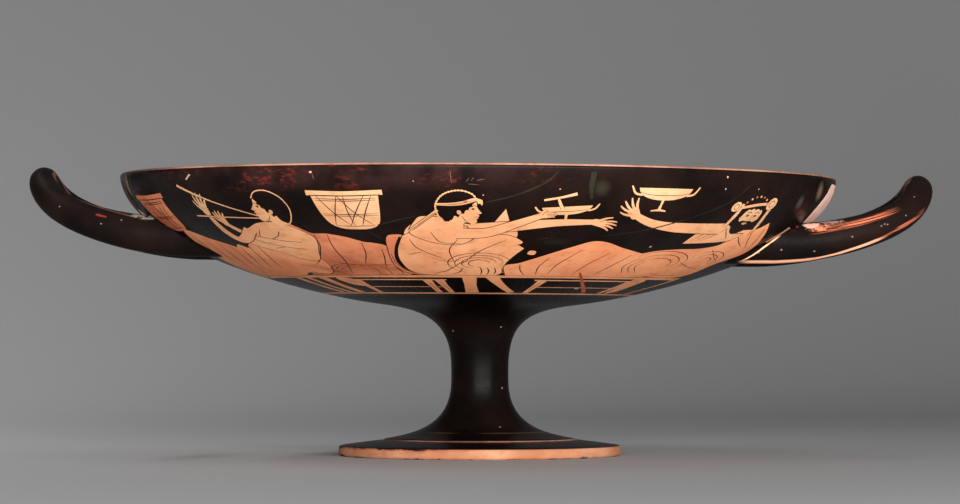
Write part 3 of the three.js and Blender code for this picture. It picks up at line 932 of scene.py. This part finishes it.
def finish(name):
    data = finishes[name]
    material = bpy.data.materials.new(name)
    material.use_nodes = True
    tree = material.node_tree
    shader = tree.nodes["Principled BSDF"]
    place = add(tree, "TexCoord").outputs["Object"]
    uneven = add(tree, "Group", {"node_tree": mottle}, Place=place)
    cloud, grain = uneven.outputs["Cloud"], uneven.outputs["Grain"]
    rough = remap(tree, grain, 0, 1, (data["roughness"] - 0.04, data["roughness"] + 0.06))
    colour = (clayColour if "deep" in data else slipColour)(tree, name, place, cloud)
    if name == "handle":
        colour, bare = paintRod(tree, place, colour)
        rough = add(tree, "Mix", None, i0=bare, i2=rough, i3=0.6).outputs[0]
    shader.inputs["Specular IOR Level"].default_value = data.get("shine", 0.06)
    tree.links.new(colour, shader.inputs["Base Color"])
    tree.links.new(rough, shader.inputs["Roughness"])
    bump = add(tree, "Bump", None, Height=grain, Strength=0.08, Distance=0.0002)
    tree.links.new(bump.outputs["Normal"], shader.inputs["Normal"])
    return material


materials = {name: finish(name) for name in slotNames}
print("made", len(materials), "materials")


def deselectAll():
    if bpy.context.mode != "OBJECT":
        bpy.ops.object.mode_set(mode="OBJECT")
    bpy.ops.object.select_all(action="DESELECT")


def makeActive(piece):
    deselectAll()
    piece.select_set(True)
    bpy.context.view_layer.objects.active = piece


def clearMaps(mesh):
    while mesh.uv_layers:
        mesh.uv_layers.remove(mesh.uv_layers[0])


def dress(piece, slot):
    for name in slotNames:
        piece.data.materials.append(materials[name])
    for face in piece.data.polygons:
        face.material_index = slotNames.index(slot)


def spun(name, outline, slot="gloss", columns=cup["columns"]):
    # a profile drawn point by point, then spun about the axis of the cup
    deselectAll()
    start = (-outline[0][0] * mm, 0, outline[0][1] * mm)
    bpy.ops.mesh.primitive_plane_add(size=0.001, location=(0, 0, 0))
    piece = bpy.context.object
    piece.name = name
    bpy.ops.object.mode_set(mode="EDIT")
    bpy.ops.mesh.select_all(action="SELECT")
    bpy.ops.mesh.merge(type="CENTER")
    bpy.ops.transform.translate(value=start)
    for a, b in zip(outline, outline[1:]):
        step = ((a[0] - b[0]) * mm, 0, (b[1] - a[1]) * mm)
        bpy.ops.mesh.extrude_vertices_move(TRANSFORM_OT_translate={"value": step})
    bpy.ops.mesh.select_all(action="SELECT")
    bpy.ops.mesh.spin(steps=columns, angle=2 * math.pi, center=(0, 0, 0), axis=(0, 0, 1))
    bpy.ops.object.mode_set(mode="OBJECT")
    clearMaps(piece.data)
    dress(piece, slot)
    return piece


def joined(pieces, name):
    for piece in pieces:
        piece.data.uv_layers.new(name="alongHandle")
    deselectAll()
    for piece in pieces:
        piece.select_set(True)
    bpy.context.view_layer.objects.active = pieces[0]
    bpy.ops.object.join()
    pieces[0].name = name
    return pieces[0]


def closeSeams(piece):
    # welds the open borders and turns every face outwards
    makeActive(piece)
    bpy.ops.object.mode_set(mode="EDIT")
    bpy.ops.mesh.select_mode(type="VERT")
    bpy.ops.mesh.select_all(action="DESELECT")
    bpy.ops.mesh.select_non_manifold()
    bpy.ops.mesh.remove_doubles(threshold=0.00002)
    bpy.ops.mesh.select_all(action="SELECT")
    bpy.ops.mesh.normals_make_consistent(inside=False)
    bpy.ops.object.mode_set(mode="OBJECT")


def combined(piece, other, operation):
    makeActive(piece)
    join = piece.modifiers.new(operation.lower(), "BOOLEAN")
    join.operation = operation
    join.object = other
    join.solver = "MANIFOLD"
    bpy.ops.object.modifier_apply(modifier=join.name)
    bpy.data.objects.remove(other)


wall = {
    "firstAzimuth": -90.0,
    "lowReach": 66.0,
    "topReach": 183.6,
    "rows": 32,
    "stretch": 2.6,
    "floorReach": (3.0, 60.0),  # the painted part of the bowl's floor
    "floorRows": 22,
    "floorStretch": 0.6,
    "rings": [  # reserved lines that run right round: (paint, inner reach, outer reach)
        ("clay", 71.0, 73.4),
    ],
}


def inside(outline, points):
    # which of the points lie in an outline, by winding number
    px, py = points[:, 0], points[:, 1]
    turns = np.zeros(len(points), int)
    loop = np.array(outline)
    for (ax, ay), (bx, by) in zip(loop, np.roll(loop, -1, axis=0)):
        if ay == by:
            continue
        left = (bx - ax) * (py - ay) - (px - ax) * (by - ay)
        turns += (ay <= py) & (py < by) & (left > 0)
        turns -= (by <= py) & (py < ay) & (left < 0)
    return turns != 0


def finer(outline, wide, longest=3.0):
    # splits long edges, so that they follow the curve of the surface
    made = []
    for a, b in zip(outline, outline[1:] + outline[:1]):
        steps = max(1, math.ceil(math.hypot((b[0] - a[0]) * wide, b[1] - a[1]) / longest))
        made += [(a[0] + (b[0] - a[0]) * i / steps, a[1] + (b[1] - a[1]) * i / steps) for i in range(steps)]
    return made


def paintedSheet(name, curve, reaches, span, rows, wide, rings, shapes):
    # a turned surface with every drawn outline cut into it; wide stretches azimuth so
    # that the triangles come out even
    columns, first = cup["columns"], wall["firstAzimuth"]
    low, top = span
    levels = sorted({*np.linspace(low, top, rows + 1), *(r for ring in rings for r in ring[1:])})
    points, edges = [], []
    for reach in levels:
        points += [((first + 360 * i / columns) * wide, reach) for i in range(columns + 1)]
    size = columns + 1
    for k, reach in enumerate(levels):
        if reach in (low, top) or any(reach in ring[1:] for ring in rings):
            edges += [(k * size + i, k * size + i + 1) for i in range(columns)]
    for i in (0, columns // 4, columns // 2, columns):
        edges += [(k * size + i, (k + 1) * size + i) for k in range(len(levels) - 1)]
    for paint, outline in shapes:
        outline = finer(outline, wide)
        base, count = len(points), len(outline)
        points += [(p[0] * wide, min(p[1], top - 0.3)) for p in outline]  # stops short of the border
        edges += [(base + i, base + (i + 1) % count) for i in range(count)]
    closeness = 0.004  # points this near each other become one
    vertices, _, faces, *_ = delaunay_2d_cdt([Vector(p) for p in points], edges, [], 0, closeness)
    flat = np.array([tuple(v) for v in vertices]) / (wide, 1)
    corners = np.array(faces)
    middle = flat[corners].mean(axis=1)
    paint = np.zeros(len(corners), int)
    for slot, inner, outer in rings:
        paint[(middle[:, 1] > inner) & (middle[:, 1] < outer)] = slotNames.index(slot)
    for slot, outline in shapes:
        shape = np.array(outline)
        near = np.all((middle > shape.min(axis=0)) & (middle < shape.max(axis=0)), axis=1).nonzero()[0]
        if len(near):
            paint[near[inside(outline, middle[near])]] = slotNames.index(slot)
    radius, height = alongCurve(flat[:, 1], reaches, curve).T * mm
    angle = np.radians(flat[:, 0])
    solid = np.stack((radius * np.sin(angle), -radius * np.cos(angle), height), axis=1)
    mesh = bpy.data.meshes.new(name)
    mesh.from_pydata(solid.tolist(), [], corners.tolist())
    piece = bpy.data.objects.new(name, mesh)
    bpy.context.collection.objects.link(piece)
    dress(piece, "gloss")
    mesh.polygons.foreach_set("material_index", paint)
    return piece


def wallMesh():
    return paintedSheet("wall", wallCurve, wallReach, (wall["lowReach"], wall["topReach"]), wall["rows"],
                        wall["stretch"], wall["rings"], marks)


def floorMesh():
    return paintedSheet("floor", floorCurve, floorReach, wall["floorReach"], wall["floorRows"],
                        wall["floorStretch"], roundel["rings"], floorMarks)


def wallRun(a, b, steps):  # points along the outer wall between two reaches
    return [wallPoint(a + (b - a) * i / steps) for i in range(steps + 1)]


def floorRun(a, b, steps):  # the same along the inside
    places = np.linspace(a, b, steps + 1)
    return [tuple(point) for point in alongCurve(places, floorReach, floorCurve).tolist()]


def turnedParts():
    c = cup
    rim, top, lip = c["rimRadius"], c["rimHeight"], c["lipWidth"]
    floorLow, floorTop = wall["floorReach"]
    waistLow, waistHigh = c["stemWaist"]
    stem, foot, edge = c["stemRadius"], c["footRadius"], c["footEdgeHeight"]
    line, lineHeight = c["footLineRadius"], c["footLineHeight"]
    ring, bore, boreLow = c["restingRingInner"], c["boreRadius"], waistLow - 5
    bowlFoot = (c["bowlFootRadius"], c["bowlFootHeight"])
    outerTop = (rim, top - 2)
    lipLine = (rim - 0.2, top - 0.85)
    scribeTop, scribeLow = (line - 0.4, lineHeight + 0.5), (line - 0.1, lineHeight - 0.1)
    clayTop = (foot - 0.6, edge - 0.25)
    return [
        ("gloss", wallRun(wall["topReach"], wallReach[-1], 2)),
        ("gloss", [outerTop, (rim, top - 1.4), lipLine]),
        ("lip", bezier(lipLine, (rim - 0.3, top - 0.5), (rim - 0.6, top - 0.1), (rim - 1.3, top), 3)),
        ("inside", bezier((rim - 1.3, top), (rim - 2.6, top + 0.1), (rim - 3.7, top - 0.6),
                          (rim - lip, top - 2), 5)),
        ("inside", floorRun(floorReach[-1], floorTop, 24)),
        ("inside", floorRun(floorLow, 0, 1)),
        ("foot", chain(
            wallRun(wall["lowReach"], c["bowlFootRadius"], 7),
            bezier(bowlFoot, (23.1, 67.4), (stem, 61.6), (stem, waistHigh), 15),
            bezier((stem, waistHigh), (stem, waistHigh - 2), (stem, waistLow + 2), (stem, waistLow), 3),
            bezier((stem, waistLow), (stem, 13.4), (30.9, 10.3), scribeTop, 15))),
        ("scribe", [scribeTop, scribeLow]),
        ("foot", [scribeLow, (line + 0.25, lineHeight - 0.08), (line + 0.7, lineHeight),
                  (line + 7, 6.6), (line + 14, 5.7), (foot - 1.5, edge + 0.05), clayTop]),
        ("footClay", [clayTop, (foot - 0.15, edge - 0.8), (foot, edge - 1.6), (foot, 1.4),
                      (foot - 0.2, 0.6), (foot - 0.8, 0.1), (foot - 1.4, 0), (60, 0), (ring, 0)]),
        ("under", chain(
            [(ring, 0), (54.2, 0.6), (52, 3.2)],
            bezier((52, 3.2), (22, 8), (bore, 13), (bore, boreLow), 16),
            bezier((bore, boreLow), (bore, 46), (6, c["boreTop"] - 4), (0, c["boreTop"]), 10))),
    ]


def smoothstep(x, low, high):
    t = np.clip((x - low) / (high - low), 0, 1)
    return t * t * (3 - 2 * t)


def swellAt(x):
    return handles["swell"] * (1 - smoothstep(abs(x), *handles["swellBetween"]))


def loopPoint(loop, t):
    h = handles
    angle = (t - 0.5) * math.pi
    out = max(0.0, math.cos(angle)) ** (2 / h["squareness"])
    across = math.copysign(abs(math.sin(angle)) ** (2 / h["squareness"]), angle)
    x = h["start"] + (loop["reach"] - h["start"]) * out
    rise = max(0.0, (x - h["liftStart"]) / (loop["reach"] - h["liftStart"]))
    lift = loop["sideLift"] * rise ** 2 + loop["tipLift"] * (1 - across ** 2) ** h["archSharpness"]
    z = loop["height"] + swellAt(x) + lift
    return (loop["side"] * x, h["halfSpread"] * across, z)


def loopRadius(loop, x):
    inward = min(1.0, (loop["reach"] - abs(x)) / (loop["reach"] - handles["liftStart"]))
    return handles["tipRadius"] + (loop["root"] - handles["tipRadius"]) * inward + swellAt(x)


def loopLine(loop):  # evenly spaced centre line
    fine = np.array([loopPoint(loop, t) for t in np.linspace(0, 1, 2001)])
    along = arcLength(fine)
    even = np.linspace(0, along[-1], handles["rings"])
    return alongCurve(even, along, fine)


def handleRod(name, loop):
    deselectAll()
    bpy.ops.curve.primitive_nurbs_path_add()
    piece = bpy.context.object
    piece.name = name
    path = piece.data
    path.splines.clear()
    line = loopLine(loop)
    spline = path.splines.new("POLY")
    spline.points.add(len(line) - 1)
    for point, (x, y, z) in zip(spline.points, line):
        point.co = (x * mm, y * mm, z * mm, 1)
        point.radius = loopRadius(loop, x)
    path.dimensions = "3D"
    path.twist_mode = "Z_UP"
    path.bevel_depth = mm
    path.bevel_resolution = 12
    path.use_fill_caps = True
    makeActive(piece)
    bpy.ops.object.convert(target="MESH")
    piece = bpy.context.object
    piece.data.materials.clear()
    clearMaps(piece.data)
    dress(piece, "handle")
    bpy.ops.object.mode_set(mode="EDIT")
    bpy.ops.mesh.select_all(action="SELECT")
    bpy.ops.mesh.remove_doubles(threshold=0.00001)
    bpy.ops.mesh.normals_make_consistent(inside=False)
    bpy.ops.object.mode_set(mode="OBJECT")
    wrapHandle(piece.data, loop["side"], line)
    return piece


def read(items, attribute, width=1, kind=float):
    # one attribute of every vertex, corner or face
    made = np.empty(len(items) * width, kind)
    items.foreach_get(attribute, made)
    return made.reshape(-1, width) if width > 1 else made


def loopCorners(mesh):  # vertex and face of every face corner
    count = read(mesh.polygons, "loop_total", kind=int)
    return read(mesh.loops, "vertex_index", kind=int), np.repeat(np.arange(len(count)), count)


def coordinates(mesh):
    return read(mesh.vertices, "co", 3) / mm


def profile(co):  # distance from the axis and height
    return np.stack((np.hypot(co[:, 0], co[:, 1]), co[:, 2]), axis=1)


def azimuth(co):  # degrees round from the front
    return np.degrees(np.arctan2(co[:, 0], -co[:, 1]))


def wrapHandle(mesh, side, line):
    # a UV map that follows the rod: u runs from the front root to the back one (the
    # right handle's starts at 2), v goes round from the inner side, over the top
    co = coordinates(mesh)
    nearest = np.linalg.norm(co[:, None] - line[None], axis=2).argmin(axis=1)
    along = np.gradient(line, axis=0)
    along /= np.linalg.norm(along, axis=1)[:, None]
    inward = np.stack((-side * along[:, 1], side * along[:, 0], 0 * along[:, 0]), axis=1)
    inward /= np.linalg.norm(inward, axis=1)[:, None]
    upward = np.cross(along, inward) * side
    off = co - line[nearest]
    turn = np.degrees(np.arctan2((off * upward[nearest]).sum(axis=1),
                                 (off * inward[nearest]).sum(axis=1))) % 360
    vertex, face = loopCorners(mesh)
    v = turn[vertex] / 360
    high = np.zeros(len(mesh.polygons))
    np.maximum.at(high, face, v)
    v[(high[face] > 0.7) & (v < 0.3)] += 1
    u = nearest[vertex] / (len(line) - 1) + (2 if side > 0 else 0)
    layer = mesh.uv_layers.new(name="alongHandle")
    layer.uv.foreach_set("vector", np.stack((u, v), axis=1).ravel())


def bowlFilling(name):
    # reaches the middle of the bowl's wall, to trim the rod ends
    c = cup
    low = (c["bowlFootRadius"], c["bowlFootHeight"] + c["floorThickness"] / 2)
    high = (c["rimRadius"] - c["lipWidth"] / 2, c["rimHeight"] - 2)
    piece = spun(name, chain(
        [(0, c["bowlFootHeight"] + 3), low],
        bezier(low, (81.6, 77.1), (c["rimRadius"] - 5.9, 97.7), high, 24),
        [high, (0, high[1])]), columns=96)
    closeSeams(piece)
    return piece


def leanBowl(piece):
    # the bowl and handles lean a little on the level foot
    mesh = piece.data
    co = coordinates(mesh)
    share = smoothstep(co[:, 2], *cup["leanHeights"])
    co[:, 2] -= cup["lean"] * co[:, 0] * share
    co[:, 0] += cup["offCentre"] * share
    mesh.vertices.foreach_set("co", (co * mm).ravel())
    mesh.update()


def smoothShading(piece):
    makeActive(piece)
    bpy.ops.object.shade_smooth_by_angle(angle=math.radians(40))


def curveNormals(co, curve, reaches, side):
    # exact normals, and which vertices lie on a turned curve; side is 1 outside, -1 inside
    own = profile(co)
    radius = own[:, 0]
    reach = np.interp(own.sum(axis=1), curve.sum(axis=1), reaches)
    near = np.linalg.norm(alongCurve(reach, reaches, curve) - own, axis=1) < 0.02
    out = np.interp(reach, reaches, np.gradient(curve[:, 1], reaches)) * side
    down = -np.interp(reach, reaches, np.gradient(curve[:, 0], reaches)) * side
    normals = np.stack((co[:, 0] / radius.clip(1) * out, co[:, 1] / radius.clip(1) * out, down), axis=1)
    return normals / np.linalg.norm(normals, axis=1)[:, None], near


def sheetNormals(piece):
    # so that the cut surfaces shade as one sweep
    co = coordinates(piece.data)
    normals, near = curveNormals(co, wallCurve, wallReach, 1)
    inner, nearInner = curveNormals(co, floorCurve, floorReach, -1)
    radius, height = profile(co).T
    near &= (radius > cup["bowlFootRadius"] + 1) & (height > cup["bowlFootHeight"] + 1)
    nearInner &= (radius > 1) & (radius < wall["floorReach"][1])
    normals[nearInner] = inner[nearInner]
    normals[~(near | nearInner)] = 0
    return normals


bakeAreas = {
    # left, bottom, right, top of each area of the bake map; the pictures get the most
    "frontLeft": (0.004, 0.644, 0.714, 0.996),
    "frontRight": (0.004, 0.286, 0.714, 0.638),
    "back": (0.722, 0.004, 0.996, 0.996),
    "inside": (0.004, 0.004, 0.276, 0.276),
    "foot": (0.284, 0.004, 0.520, 0.278),
    "leftHandle": (0.528, 0.004, 0.572, 0.278),
    "rightHandle": (0.580, 0.004, 0.624, 0.278),
    "under": (0.632, 0.004, 0.712, 0.084),
}


def fill(area, across, up):  # shares of an area, as places on the map
    left, bottom, right, top = bakeAreas[area]
    return np.stack((left + (right - left) * across, bottom + (top - bottom) * up), axis=-1)


def alongProfile(co, outline):
    # share of the way along a turned outline, by the nearest point of it
    samples = 400
    block = 20000  # vertices at a time
    line = np.array(outline)
    length = arcLength(line)
    fine = np.linspace(0, length[-1], samples)
    spots = alongCurve(fine, length, line)
    own = profile(co)
    share = np.empty(len(own))
    for start in range(0, len(own), block):
        away = np.linalg.norm(own[start:start + block, None] - spots[None], axis=2)
        share[start:start + block] = away.argmin(axis=1) / (samples - 1)
    return share


def bakeMap(piece):
    mesh = piece.data
    co = coordinates(mesh)
    vertex, face = loopCorners(mesh)
    slot = read(mesh.polygons, "material_index", kind=int)
    middle = read(mesh.polygons, "center", 3) / mm
    inMap = read(mesh.uv_layers["alongHandle"].uv, "vector", 2)
    # azimuths from -90 to 270, each corner's within half a turn of its face's
    turn = azimuth(middle)
    turn = np.where(turn < -90, turn + 360, turn)[face]
    own = azimuth(co)[vertex]
    own = turn + (own - turn + 180) % 360 - 180
    reach = np.interp(profile(co).sum(axis=1), wallCurve.sum(axis=1), wallReach)
    reach += (co[:, 2] - wallCurve[-1, 1]).clip(0)
    high = ((reach - wall["lowReach"]) / (wallReach[-1] + 2 - wall["lowReach"])).clip(0, 1)[vertex]
    places = np.where((turn < 0)[:, None], fill("frontLeft", (own + 90) / 90, high),
                      np.where((turn < 90)[:, None], fill("frontRight", own / 90, high),
                               fill("back", high, (own - 90) / 180)))

    def named(*names):
        return np.isin(slot, [slotNames.index(n) for n in names])[face]

    parts = turnedParts()
    foot = chain(*(outline for name, outline in parts if name in ("foot", "scribe", "footClay")))
    under = next(outline for name, outline in parts if name == "under")
    lip = next(outline for name, outline in parts if name == "lip")
    rounding = next(outline for name, outline in parts if name == "inside")
    hollow = chain(lip, rounding, [(r, z) for r, z in floorCurve[::-1]])
    fromAxis, height = profile(middle).T
    onFloor = (fromAxis < wall["floorReach"][1] + 2) & (height > floorHeight - 1)
    within = named("inside", "lip") | onFloor[face] & ~named("foot")
    for area, chosen, outline in (("inside", within, hollow), ("under", named("under"), under)):
        out = 0.5 * (1 - alongProfile(co, outline))[vertex[chosen]]
        angle = np.radians(own[chosen])
        places[chosen] = fill(area, 0.5 + out * np.sin(angle), 0.5 - out * np.cos(angle))
    chosen = named("foot", "scribe", "footClay")
    places[chosen] = fill("foot", alongProfile(co, foot)[vertex[chosen]], (own[chosen] + 90) / 360)
    for area, first in (("leftHandle", 0), ("rightHandle", 2)):
        chosen = named("handle") & (np.abs(inMap[:, 0] - first - 0.5) < 0.75)
        places[chosen] = fill(area, inMap[chosen, 1] / 1.1, inMap[chosen, 0] - first)
    layer = mesh.uv_layers.new(name="OFBake")
    layer.uv.foreach_set("vector", places.ravel())
    print("bake map:", len(places), "corners, from", places.min(axis=0).round(3), "to",
          places.max(axis=0).round(3))


def makeKylix():
    pieces = [wallMesh(), floorMesh()]
    print("painted:", *(len(piece.data.polygons) for piece in pieces), "faces")
    for i, (slot, outline) in enumerate(turnedParts()):
        pieces.append(spun(f"turned{i}", outline, slot))
    piece = joined(pieces, "kylix_painted")
    closeSeams(piece)
    print("turned and welded:", len(piece.data.polygons), "faces")
    for name, loop in handles["sides"].items():
        rod = handleRod(name, loop)
        combined(rod, bowlFilling("filling"), "DIFFERENCE")
        combined(piece, rod, "UNION")
    print("handles luted on:", len(piece.data.polygons), "faces")
    smoothShading(piece)
    normals = sheetNormals(piece)
    bakeMap(piece)
    leanBowl(piece)
    piece.data.normals_split_custom_set_from_vertices(normals.tolist())
    return piece


kylix = makeKylix()
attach(kylix, "root")
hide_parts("kylix")


studio = {
    "eye": (0.0001, -1.8, 0.0605),
    "pitch": 1.086,
    "lens": 145.0,
    "floorSize": 8.0,
    "wallHeight": 6.0,
    "sweep": 3.2,
    "floorTone": (0.4, 0.4, 0.4, 1),
    "air": ((0.9, 0.92, 1, 1), 0.05),
    # place, target, size and watts
    "lights": {
        "frontLight": ((0.5, -2.5, 0.36), (0, 0, 0.1), (3.0, 0.7), 192),
        "topLight": ((0, 0.1, 1.9), (0, 0, 0.1), (0.9, 0.9), 2),
        "backdropLight": ((-0.803, 0.296, 1.193), (-1.582, 0.471, 0.508), (0.8, 0.6), 23.7),
    },
}


def camera():
    data = bpy.data.cameras.new("camera")
    data.lens = studio["lens"]
    data.sensor_width = 36
    eye = bpy.data.objects.new("camera", data)
    eye.location = studio["eye"]
    eye.rotation_euler = (math.radians(90 + studio["pitch"]), 0, 0)
    bpy.context.collection.objects.link(eye)
    bpy.context.scene.camera = eye


def softLight(name, place, target, size, watts):
    data = bpy.data.lights.new(name, "AREA")
    data.shape = "RECTANGLE"
    data.size, data.size_y = size
    data.energy = watts
    lamp = bpy.data.objects.new(name, data)
    lamp.location = place
    aim = Vector(target) - Vector(place)
    lamp.rotation_euler = aim.to_track_quat("-Z", "Y").to_euler()
    bpy.context.collection.objects.link(lamp)


def pickEdges(piece, test):
    # leaves the piece in edit mode with only the edges that pass the test selected
    makeActive(piece)
    bpy.ops.object.mode_set(mode="EDIT")
    bpy.ops.mesh.select_mode(type="EDGE")
    bpy.ops.mesh.select_all(action="DESELECT")
    bpy.ops.object.mode_set(mode="OBJECT")
    for edge in piece.data.edges:
        edge.select = test([piece.data.vertices[v].co for v in edge.vertices])
    bpy.ops.object.mode_set(mode="EDIT")


def floorAndBackdrop():
    # one sheet: a floor that sweeps up into a wall
    deselectAll()
    bpy.ops.mesh.primitive_plane_add(size=studio["floorSize"], location=(0, 0, 0))
    piece = bpy.context.object
    piece.name = "floor"
    far = studio["floorSize"] / 2 - 0.1
    pickEdges(piece, lambda ends: all(co.y > far for co in ends))
    bpy.ops.mesh.extrude_region_move(TRANSFORM_OT_translate={"value": (0, 0, studio["wallHeight"])})
    pickEdges(piece, lambda ends: all(co.y > far and co.z < 0.1 for co in ends))
    bpy.ops.mesh.bevel(offset=studio["sweep"], segments=32, profile=0.5, affect="EDGES")
    bpy.ops.object.mode_set(mode="OBJECT")
    bpy.ops.object.shade_smooth()
    material = bpy.data.materials.new("paleFloor")
    material.use_nodes = True
    shader = material.node_tree.nodes["Principled BSDF"]
    shader.inputs["Base Color"].default_value = studio["floorTone"]
    shader.inputs["Roughness"].default_value = 0.8
    shader.inputs["Specular IOR Level"].default_value = 0.1
    piece.data.materials.append(material)


camera()
floorAndBackdrop()
for name, settings in studio["lights"].items():
    softLight(name, *settings)
world = bpy.data.worlds.new("studioAir")
world.use_nodes = True
background = world.node_tree.nodes["Background"].inputs
background["Color"].default_value, background["Strength"].default_value = studio["air"]
bpy.context.scene.world = world
bpy.context.scene.view_settings.view_transform = "Standard"
print("set up the camera and", len(studio["lights"]), "lights")
